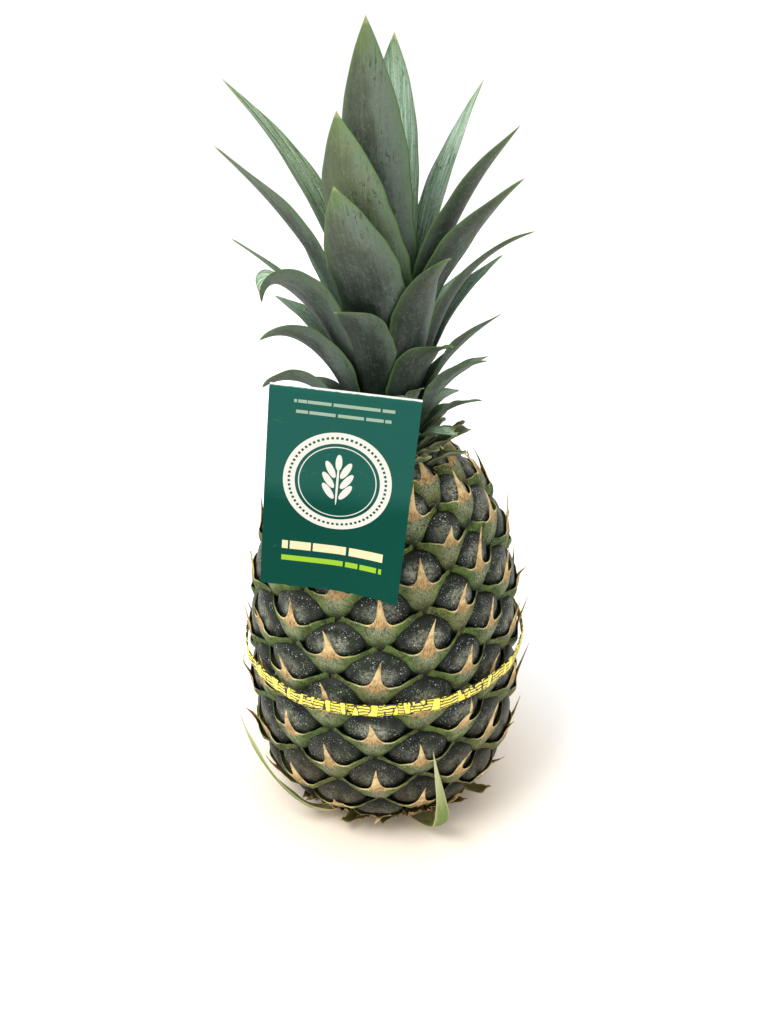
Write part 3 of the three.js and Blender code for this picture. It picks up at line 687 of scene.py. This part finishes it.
def leaf_material(name, silver, deep, low="18211b", high="344036", bloom="566259"):
    """A crown leaf: grey bloom outside, a paler streaked face inside, green edges and yellow-green tips."""
    n = Nodes(name)
    t, x, inner, flat = n.attr("along"), n.attr("across"), n.attr("inner"), n.attr("flat")
    own = n.mul(n.attr("rnd1"), 60.0)
    ax = n.math("ABSOLUTE", x)

    def stretched(across, along):
        """A place in mm across the leaf and in shares along it, apart for every leaf."""
        return n.join(n.mul(flat, across), n.mul(t, along), own)

    streak = n.noise(1.0, 4, 0.6, stretched(1.6, 5.0), 0.3)
    lines = n.noise(1.0, 2, 0.5, stretched(6.5, 7.0))
    blotch = n.noise(60, 4, 0.6)
    fine = n.noise(1500, 3, 0.7)
    outer = n.mix(n.step(0.25, 0.8, streak), low, high)
    outer = n.mix(n.mul(n.step(0.38, 0.7, blotch), 0.5), outer, bloom)
    outer = n.mix(n.mul(n.step(0.5, 0.8, lines), 0.3), outer, low)
    outer = n.mix(n.mul(n.step(0.45, 0.2, lines), 0.3), outer, "8d9a8a")
    outer = n.mix(n.mul(n.step(0.5, 0.72, n.noise(700, 4, 0.75)), 0.3), outer, "939b86")
    outer = n.mix(n.mul(n.step(0.45, 1.0, t), 0.3), outer, "77805f")
    # painted light and shade: paler down one side as a painted highlight, darker down the other as painted
    # shade
    side_light_wobble = n.sub(n.noise(1.0, 3, 0.6, stretched(0.12, 3.0)), 0.5)
    drift = n.add(x, n.mul(side_light_wobble, 2.4))
    outer = n.mix(n.mul(n.step(0.1, 0.9, drift), 0.4), outer, "7d8d80")
    outer = n.mix(n.mul(n.step(-0.1, -0.9, drift), 0.4), outer, "161e17")
    face = n.mix(n.step(0.3, 0.7, streak), deep, silver)
    face = n.mix(n.mul(n.specks(1800, 0.42, 0.45), 0.5), face, "c9dccb")
    face = n.mix(n.mul(n.step(0.45, 0.7, lines), 0.35), face, deep)
    face = n.mix(n.mul(n.step(0.50, 0.62, n.noise(1000, 4, 0.8)), 0.5), face, deep)
    # painted shade on the inner face towards the foot
    face = n.mix(n.mul(n.step(0.7, 0.1, t), 0.5), face, deep)
    color = n.mix(inner, outer, face)
    # dark scratches and rubs along the blade
    marks = n.noise(1.0, 6, 0.8, stretched(0.8, 22.0), 0.6)
    scratch = n.mul(n.step(0.54, 0.60, marks), n.step(0.44, 0.58, blotch))
    color = n.mix(n.mul(scratch, 0.75), color, "141c15")
    # painted shade near the foot, between the leaves
    color = n.mix(n.mul(n.step(0.55, 0.05, t), 0.75), color, "151d1a")
    edge = n.math("MAXIMUM", n.mul(n.step(0.88, 0.99, ax), 0.75), n.mul(n.step(0.6, 0.97, ax), n.mul(t, 0.4)))
    color = n.mix(edge, color, "56733d")
    tip = n.mul(n.step(0.86, 1.0, n.add(t, n.mul(n.sub(streak, 0.5), 0.15))), 0.5)
    color = n.mix(tip, color, "64803c")
    color = n.mix(n.mul(n.step(0.975, 1.0, t), 0.7), color, "a3a45e")
    n.bump(n.add(n.mul(lines, 0.8), n.mul(fine, 0.25)), 0.00035, 0.7)
    return n.finish(color, n.lerp(streak, 0.42, 0.62), Specular_IOR_Level=0.28)


leaf_plain = leaf_material("leaf_plain", "6f8a72", "3d5641")
leaf_silver = leaf_material("leaf_silver", "c8dcc8", "5f8465")
leaf_green = leaf_material("leaf_green", "a3b897", "35502f")
leaf_olive = leaf_material("leaf_olive", "7d9d70", "395a36", "26331a", "47582f", "63704c")
leaf_low = leaf_material("leaf_low", "a9c0a6", "5f7c60", "2b382e", "5f7062", "8b998b")
LEAF_LOOKS = {i: look for look, leaves in (
    (leaf_olive, [3]), (leaf_green, [8]), (leaf_silver, [2, 5, 14, 17, 24]),
    (leaf_low, [26, 29, 32, 34, 35, 38, 39, 41, 44]),
) for i in leaves}
# Where a real leaf differs from its plain CAD blade: width, roll, the taper's power and the tip's height.
LEAF_SHAPES = {1: (31, 0, 5.5, 171), 2: (23, 0, 8.0, 164), 3: (38, 4, 6.0, 140), 4: (16, 0, 3.4, 127),
               6: (30, -6, 6.5, 115), 9: (21, 26, 3.4, 134), 12: (20, 32, 3.4, 116), 13: (16, 0, 3.2, 106),
               14: (33, -16, 9.0, 67), 15: (22, 4, 4.0, 89), 16: (16, 0, 3.2, 84), 19: (24, 0, 4.6, 70),
               23: (24, 10, 4.2, 50), 25: (25, -26, 4.2, 49), 33: (21, -30, 4.0, 24)}
for i, row in enumerate(CROWN_LEAVES, 1):
    stations = 46 if row[3] > 60 else 34
    width, roll, taper, rise = LEAF_SHAPES.get(i, (row[4] * 1.06, row[8], 3.5, row[3]))
    row = (*row[:3], rise, *row[4:])
    v, f, attrs = blade(crown_curve(row), width, 0.5, 0.52, 1.3, roll, stations, taper, 1.05, seed=i)
    attrs["rnd1"] = np.full(len(v), float(rng.random()))
    leaf = build("leaf_%02d" % i, v, f, attrs, LEAF_LOOKS.get(i, leaf_plain), "leaf")
    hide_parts("crown_leaf_%02d" % i)


# ------------------------ bracts at the neck, dry ones at the base
def dry_material(name, low, high, green, tip, foot=0.0):
    """A dry leaf: streaks from low to high, green patches, a tip colour; foot is how pale its foot is."""
    n = Nodes(name)
    t, x = n.attr("along"), n.attr("across")
    own = n.mul(n.attr("rnd1"), 50.0)
    streak = n.noise(1.0, 4, 0.65, n.join(n.mul(n.attr("flat"), 2.4), n.mul(t, 3.0), own))
    fine = n.noise(1200, 3, 0.7)
    mid = n.noise(150, 4, 0.6)
    color = n.mix(n.step(0.3, 0.7, streak), low, high)
    color = n.mix(n.mul(n.step(0.4, 0.65, mid), 0.7), color, green)
    color = n.mix(n.mul(n.step(0.7, 1.0, n.math("ABSOLUTE", x)), 0.5), color, tip)
    color = n.mix(n.mul(n.step(0.65, 1.0, t), 0.75), color, tip)
    color = n.mix(n.mul(n.step(0.5, 0.1, n.add(t, n.mul(n.sub(mid, 0.5), 0.5))), foot), color, "cdbf8c")
    color = n.mix(n.mul(n.specks(1500, 0.32, 0.2), 0.5), color, "e3e0cc")
    n.bump(n.add(streak, n.mul(fine, 0.4)), 0.0004, 0.8)
    return n.finish(color, n.lerp(fine, 0.55, 0.8), Specular_IOR_Level=0.3)


neck = Parts()
for k in range(NECK_BRACTS):
    r = rng.random(5)
    azimuth = GOLDEN_ANGLE * k + 14 * r[0]
    ring = k / NECK_BRACTS
    r0 = 18.6 + 9 * ring
    z0 = FRUIT_HEIGHT - 1.5 - 6.0 * ring
    reach = r0 + 5 + 5 * ring + 5 * r[1]
    rise = 11 - 5 * ring + 8 * r[2] * r[2]
    places = [(r0 - 3, z0 - 2), (r0 + 1.5, z0 + rise * 0.35), (reach - 2, z0 + rise * 0.8),
              (reach + 1.5 * r[3], z0 + rise * (0.85 + 0.3 * r[4]))]
    centre = through(places, 60, azimuth)
    v, f, attrs = blade(centre, 8 + 4 * r[3], 0.6, 0.8, 0.9, 0, 14, 1.7, 1.0, 200 + k, wave=0.9, half_ring=5)
    neck.add(v, f, rnd1=float(r[0]), **attrs)
neck.build("neck_bracts", dry_material("neck_scales", "38442f", "717f60", "5c6c45", "b9b282"), "dry_leaf")

# Width, then azimuth, radius and height of the points that each base leaf runs through.
BASE_BRACTS = [
    (10, [(-31, 39, 1.6), (-35, 52, 4.6), (-43, 64.5, 18), (-60, 71.5, 36), (-73, 74.5, 52)]),
    (10, [(20, 39, 1.4), (22, 51, 3.2), (25, 64, 10), (22, 71, 30), (17, 73, 66)]),
    (11, [(-13, 37, 1.4), (-16, 45, 2.2), (-19, 53, 4.6), (-21, 59, 10)]),
    (10, [(2, 37, 1.4), (1, 45, 2.4), (-1, 53, 5)]),
    (10, [(62, 37, 1.4), (60, 47, 2.4), (57, 58, 7), (55, 64.5, 15)]),
]
base_green = dry_material("base_leaf", "4f6129", "8d9a55", "6d833a", "cfcb9c", 0.8)
base_dry = dry_material("base_leaf_dry", "6b5a2f", "9b8a4c", "7d7a3a", "cdb888")
for i, (width, places) in enumerate(BASE_BRACTS, 1):
    centre = through([polar(*place) for place in places], 200)
    wide, foot = (11.5, 0.85) if i == 2 else (width, 0.55)
    v, f, attrs = blade(centre, wide, 0.4, foot, 0.8, 0, 40, 2.2, 1.1, 300 + i, wave=0.9, half_ring=6)
    attrs["rnd1"] = np.full(len(v), 0.2 * i)
    leaf = build("base_leaf_%d" % i, v, f, attrs, base_green if i < 3 else base_dry, "dry_leaf")
    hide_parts("base_bract_%d" % i)

scales = Parts()
for k in range(BASE_SCALES + FRONT_SCALES):
    r = rng.random(6)
    if k < BASE_SCALES:                                # a ring round the flat spot
        azimuth, s0 = 360 / BASE_SCALES * k + 7 * r[0], 8 + 15 * r[1]
    else:                                              # more of them a little higher, round the front
        azimuth, s0 = -52 + 7 * (k - BASE_SCALES) + 6 * r[0], 19 + 13 * r[1]
    lean = [(s0, -2.0), (s0 + 5, 0.4 + 1.6 * r[2]), (s0 + 8 + 7 * r[3], 1.0 + 4.0 * r[4] * r[4])]
    turn = 14 * (r[5] - 0.5)
    centre = through([on_fruit(azimuth + turn * i, up, out) for i, (up, out) in enumerate(lean)], 40)
    v, f, attrs = blade(centre, 6 + 7 * r[2], 0.4, 0.9, 0.7, 0, 14, 1.5, 1.0, 400 + k, wave=1.1, half_ring=5)
    v[:, 2] = np.maximum(v[:, 2], 0.15)                # none goes through the floor
    scales.add(v, f, rnd1=float(r[0]), **attrs)
scales.build("base_scales", dry_material("base_scales", "33261a", "7a5c36", "4d4b27", "b8925c"), "dry_leaf")


# ------------------------ band
def band_material():
    """Yellow elastic with rows of dark dashes, blocks and bars in place of its printing."""
    n = Nodes("printed_elastic")
    along, up, _ = n.xyz(n.attr("cell", "Vector"))
    wave = n.mul(n.math("SINE", n.add(n.mul(along, 0.9), n.mul(up, 0.8))), 0.2)
    wobble = n.mul(n.sub(n.noise(1.0, 2, 0.5, n.join(n.mul(along, 0.3), 0.0, 3.0)), 0.5), 0.9)
    rows = n.math("FRACT", n.mul(n.add(n.add(up, wave), n.add(wobble, 10.0)), 0.62))
    dash = n.math("LESS_THAN", rows, 0.62)
    gaps = n.math("GREATER_THAN", n.noise(1.0, 2, 0.5, n.join(n.mul(along, 0.4), n.mul(up, 0.7), 9.0)), 0.37)
    dash = n.mul(dash, gaps)
    patch = n.noise(1.0, 1, 0.5, n.join(n.mul(along, 0.24), n.mul(up, 0.05), 5.0))
    block = n.math("GREATER_THAN", patch, 0.56)
    black_bar = n.math("LESS_THAN", n.math("ABSOLUTE", n.sub(patch, 0.535)), 0.014)
    ink = n.math("MAXIMUM", block, n.mul(dash, n.sub(1.0, black_bar)))
    yellow = n.mix(n.step(0.3, 0.7, n.noise(300, 3, 0.6)), "f3dc34", "fbec6a")
    color = n.mix(ink, "23241c", yellow)
    color = n.mix(n.mul(n.specks(1800, 0.3, 0.08), 0.5), color, "e8e4c8")
    n.bump(n.noise(2500, 2, 0.6), 0.00015, 0.6)
    return n.finish(color, n.lerp(n.noise(900, 2, 0.5), 0.45, 0.6))


def band_strip():
    """A thin strip round the fruit, a little lumpy and wandering where it crosses the spines."""
    steps = 480
    angles = np.arange(steps) * 360 / steps
    a = np.radians(angles)
    lump = 0.16 * np.sin(a * 19 + 0.6) + 0.10 * np.sin(a * 31 + 2)
    wander = 0.35 * np.sin(a * 9.5 + 1.1) + 0.25 * np.sin(a * 5 + 0.4)
    section = [(0.0, -2.8), (0.55, -2.8), (0.75, -1.6), (0.8, 0), (0.75, 1.6), (0.55, 2.8), (0.0, 2.8)]
    lines, cell = [], []
    for out, up in section:
        lines.append(polar(angles, BAND_RADIUS + out + lump, band_z(angles) + up + wander))
        cell.append(np.stack([a * BAND_RADIUS, np.full(steps, up), 0 * a], -1))
    pts = np.stack(lines, 1).reshape(-1, 3)
    attrs = {"cell": np.stack(cell, 1).reshape(-1, 3)}
    return build("band", pts, tube_faces(steps, len(section), closed=True), attrs, band_material(), "band")


band = band_strip()
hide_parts("printed_band")


# ------------------------ tag
def tag_material():
    """Dark green card with plain bars for its words, and a plain ring with a leaf sprig for its mark."""
    n = Nodes("tag_card")
    x, d, face = n.xyz(n.attr("card", "Vector"))     # mm across from the middle, mm down, 1 on the front
    # painted sheen: the card is lighter above its bend, as where it catches the light
    painted_sheen = n.step(50.0, 38.0, n.add(d, n.mul(n.sub(n.noise(40, 2, 0.5), 0.5), 6.0)))
    green = n.mix(n.mul(painted_sheen, 0.8), "004034", "20564c")
    green = n.mix(n.mul(n.noise(25, 2, 0.5), 0.2), green, "044a3d")

    def box_at(cx, cd, w, h):
        a = n.math("LESS_THAN", n.math("ABSOLUTE", n.sub(x, cx)), w / 2)
        return n.mul(a, n.math("LESS_THAN", n.math("ABSOLUTE", n.sub(d, cd)), h / 2))

    def words(cd, h, w, scale, seed):
        """A greeked line: blocks of uneven lengths with gaps, standing for words without being letters."""
        inside = box_at(0.0, cd, w, h)
        cut = n.noise(1.0, 1, 0.5, n.join(n.mul(x, scale), seed, 0.0))
        return n.mul(inside, n.math("GREATER_THAN", cut, 0.38))

    mark_across, mark_down = -0.3, 37.4
    rx = n.sub(x, mark_across)
    ry = n.sub(d, mark_down)
    dist = n.math("SQRT", n.add(n.mul(rx, rx), n.mul(ry, ry)))
    ring = n.mul(n.math("LESS_THAN", dist, 21.2), n.math("GREATER_THAN", dist, 16.6))
    dots_round = 64
    turn = n.math("FRACT", n.mul(n.math("ARCTAN2", ry, rx), dots_round / (2 * math.pi)))
    middle = n.math("LESS_THAN", n.math("ABSOLUTE", n.sub(dist, 18.9)), 0.5)
    dots = n.mul(middle, n.math("LESS_THAN", turn, 0.55))
    ring = n.mul(ring, n.sub(1.0, dots))
    inner_line = n.mul(n.math("LESS_THAN", dist, 15.3), n.math("GREATER_THAN", dist, 14.9))

    def ellipse(cx, cd, a, b, angle):
        cosine, sine = math.cos(math.radians(angle)), math.sin(math.radians(angle))
        px, py = n.sub(rx, cx), n.sub(ry, cd)
        p = n.math("DIVIDE", n.add(n.mul(px, cosine), n.mul(py, sine)), a)
        q = n.math("DIVIDE", n.sub(n.mul(py, cosine), n.mul(px, sine)), b)
        return n.math("LESS_THAN", n.add(n.mul(p, p), n.mul(q, q)), 1.0)

    sprig = ellipse(0.0, 0.5, 0.45, 9.5, 0)
    for cx, cd, angle in ((3.4, 4.0, 55), (3.6, -0.8, 55), (3.0, -5.4, 62)):
        for side, lean in ((-1, 180 - angle), (1, angle)):
            sprig = n.math("MAXIMUM", sprig, ellipse(side * cx, cd, 3.9, 1.35, -lean))
    sprig = n.math("MAXIMUM", sprig, ellipse(0.0, -8.6, 1.3, 3.4, 0))
    white = n.math("MAXIMUM", n.math("MAXIMUM", ring, inner_line), sprig)
    thin = n.math("MAXIMUM", words(5.2, 1.3, 38.0, 0.55, 1.0), words(9.4, 1.3, 36.0, 0.55, 7.0))
    bold = words(68.6, 3.9, 41.0, 0.42, 4.0)
    lime = words(75.0, 2.5, 41.0, 0.5, 33.0)
    front = n.math("GREATER_THAN", face, 0.5)
    color = n.mix(n.mul(white, front), green, "d3d0c6")
    color = n.mix(n.mul(n.mul(thin, front), 0.75), color, "a3b5a0")
    color = n.mix(n.mul(bold, front), color, "dccfa6")
    color = n.mix(n.mul(lime, front), color, "8fb92f")
    worn = n.step(0.4, 0.1, n.add(d, n.mul(n.sub(n.noise(500, 3, 0.7), 0.5), 0.4)))
    color = n.mix(n.mul(worn, 0.85), color, "e4e8e0")
    scuff = n.mul(n.step(0.62, 0.72, n.noise(90, 6, 0.8, distort=2.0)), 0.12)
    color = n.mix(scuff, color, "a9bdb4")
    n.bump(n.noise(700, 2, 0.5), 0.00004, 0.35)
    return n.finish(color, n.lerp(n.noise(60, 3, 0.6), 0.22, 0.32), Specular_IOR_Level=0.05)


def tag_points(x, y, z):
    """Points of the tag from its own frame: x across, y back from its middle, z up from its fold."""
    def rot(axis, deg, p):
        cosine, sine = math.cos(math.radians(deg)), math.sin(math.radians(deg))
        i, j = {"x": (1, 2), "y": (2, 0), "z": (0, 1)}[axis]
        q = p.copy()
        q[:, i], q[:, j] = p[:, i] * cosine - p[:, j] * sine, p[:, i] * sine + p[:, j] * cosine
        return q

    p = np.stack(np.broadcast_arrays(x, y, z), -1).reshape(-1, 3).astype(float)
    return rot("z", TAG_TURN, rot("x", TAG_LEAN, rot("y", TAG_ROLL, p))) + np.array(TAG_TOP)


def folded_tag():
    """The card as one section swept across: up the front, over the fold, down the flap and back inside."""
    fold_in = TAG["gap"] / 2
    fold_out = fold_in + TAG["thick"]
    turns = np.linspace(0, math.pi, 13)[1:-1]
    path = [(-fold_out, -d, 1) for d in np.linspace(TAG["height"], fold_out, 40)]       # y, z, 1 on the front
    path += [(fold_out * math.cos(a), fold_out * math.sin(a) - fold_out, 0) for a in turns[::-1]]
    path += [(fold_out, -d, 0) for d in np.linspace(fold_out, TAG["flap"], 8)]
    path += [(fold_in, -d, 0) for d in np.linspace(TAG["flap"], fold_out, 8)]
    path += [(fold_in * math.cos(a), fold_in * math.sin(a) - fold_out, 0) for a in turns]
    path += [(-fold_in, -d, 0) for d in np.linspace(fold_out, TAG["height"], 40)]
    back, up, front = np.array(path, float).T
    down = -up
    panel = back < 0
    bend = TAG_BEND * np.clip(1 - np.sqrt(((down - 44) / 44) ** 2 + 0.012), 0, 1) * panel
    half = TAG["width"] / 2
    columns = np.linspace(-half, half, 25)
    pts, card = [], []
    for x in columns:
        cup = 0.5 * (x / half) ** 2 * panel * smooth(20, 80, down)
        curl = TAG_CURL * max(0.0, x / half) ** 1.6 * smooth(18, 89, down)
        pts.append(tag_points(x, back - bend - cup - curl, up))
        card.append(np.stack([np.full(len(down), x), down, front], -1))
    faces = tube_faces(len(columns), len(path))
    last = (len(columns) - 1) * len(path)
    faces += [tuple(range(len(path))), tuple(last + k for k in reversed(range(len(path))))]
    card = {"card": np.concatenate(card)}
    return build("tag_card", np.concatenate(pts), faces, card, tag_material(), "card")


tag = folded_tag()
tag.data.set_sharp_from_angle(angle=math.radians(50))
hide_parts("hang_tag")


# ------------------------ carried-over CAD nodes
def cord_material():
    n = Nodes("elastic_cord")
    weave = n.node("ShaderNodeTexWave", wave_type="BANDS", bands_direction="DIAGONAL")
    weave.inputs["Scale"].default_value = 900
    weave.inputs["Distortion"].default_value = 1.5
    n.link(n.place(), weave.inputs["Vector"])
    color = n.mix(weave.outputs["Fac"], "d9d2ba", "f4f0e2")
    n.bump(weave.outputs["Fac"], 0.0002, 0.8)
    return n.finish(color, n.lerp(n.noise(800, 2, 0.5), 0.6, 0.8))


def stalk_material():
    n = Nodes("cut_stalk")
    fibres = n.cells(420).outputs["Distance"]
    color = n.mix(n.step(0.1, 0.5, fibres), "8b7448", "c9b684")
    color = n.mix(n.mul(n.noise(90, 4, 0.6), 0.6), color, "6a5230")
    n.bump(fibres, 0.0006, 0.8)
    return n.finish(color, n.lerp(n.noise(300, 2, 0.5), 0.7, 0.9))


def stem_material():
    n = Nodes("crown_core")
    # the core's pale colour is darkened as painted shade, where it shows in gaps under the leaves
    color = n.mix(n.step(0.3, 0.7, n.noise(120, 4, 0.6)), "5d6a45", "8b9468")
    n.bump(n.noise(500, 3, 0.6), 0.0004, 0.6)
    return n.finish(color, n.lerp(n.noise(300, 2, 0.5), 0.5, 0.7))


for node, material in (("elastic_tie", cord_material()), ("stalk_stub", stalk_material()),
                       ("crown_stem", stem_material())):
    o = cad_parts[node]
    o.data.materials.clear()
    o.data.materials.append(material)


# ------------------------ floor, light and camera
def floor_material():
    """White paper, with a warm painted shadow tint under the fruit."""
    n = Nodes("paper_floor")
    x, y, _ = n.xyz(n.place())
    # painted shadow: a warm tint on the floor round the fruit's foot
    near = n.step(0.125, 0.045, n.math("SQRT", n.add(n.mul(x, x), n.mul(y, y))))
    color = n.mix(n.mul(near, 0.7), n.mix(n.noise(3, 2, 0.5), "fefdfc", "fcfbfa"), "eeddc4")
    return n.finish(color, n.lerp(n.noise(8, 2, 0.5), 0.75, 0.85), Specular_IOR_Level=0.1)


FLOOR_SIZE = 16                                       # metres, as are the places and lengths below
bpy.ops.mesh.primitive_plane_add(size=FLOOR_SIZE)
floor = bpy.context.object
floor.name = "floor"
floor.data.materials.append(floor_material())

world = bpy.data.worlds.new("studio")
bpy.context.scene.world = world
world.use_nodes = True
background = world.node_tree.nodes["Background"]
background.inputs["Color"].default_value = (1, 1, 1, 1)
background.inputs["Strength"].default_value = 1.04


def area(name, place, target, size, power, color=(1, 1, 1)):
    """A round area light turned to its target."""
    light = bpy.data.lights.new(name, "AREA")
    light.shape = "DISK"
    light.size = size
    light.energy = power
    light.color = color
    o = bpy.data.objects.new(name, light)
    o.location = place
    o.rotation_euler = (Vector(target) - Vector(place)).to_track_quat("-Z", "Y").to_euler()
    bpy.context.scene.collection.objects.link(o)


area("key", (-0.62, -0.45, 1.35), (0, 0, 0.15), 0.7, 16, (1.0, 0.985, 0.96))
area("back", (0.2, 0.9, 0.9), (0, 0, 0.2), 0.8, 3)

CAMERA_TARGET = Vector((0, 0, 0.147))
CAMERA_ELEVATION = 28
CAMERA_DISTANCE = 0.480
camera = bpy.data.cameras.new("camera")
camera.sensor_width = 36
camera.lens = 36.5625
eye = bpy.data.objects.new("camera", camera)
elevation = math.radians(CAMERA_ELEVATION)
eye.location = CAMERA_TARGET + CAMERA_DISTANCE * Vector((0, -math.cos(elevation), math.sin(elevation)))
eye.rotation_euler = (CAMERA_TARGET - eye.location).to_track_quat("-Z", "Y").to_euler()
bpy.context.scene.collection.objects.link(eye)
bpy.context.scene.camera = eye
bpy.context.scene.view_settings.view_transform = "Standard"
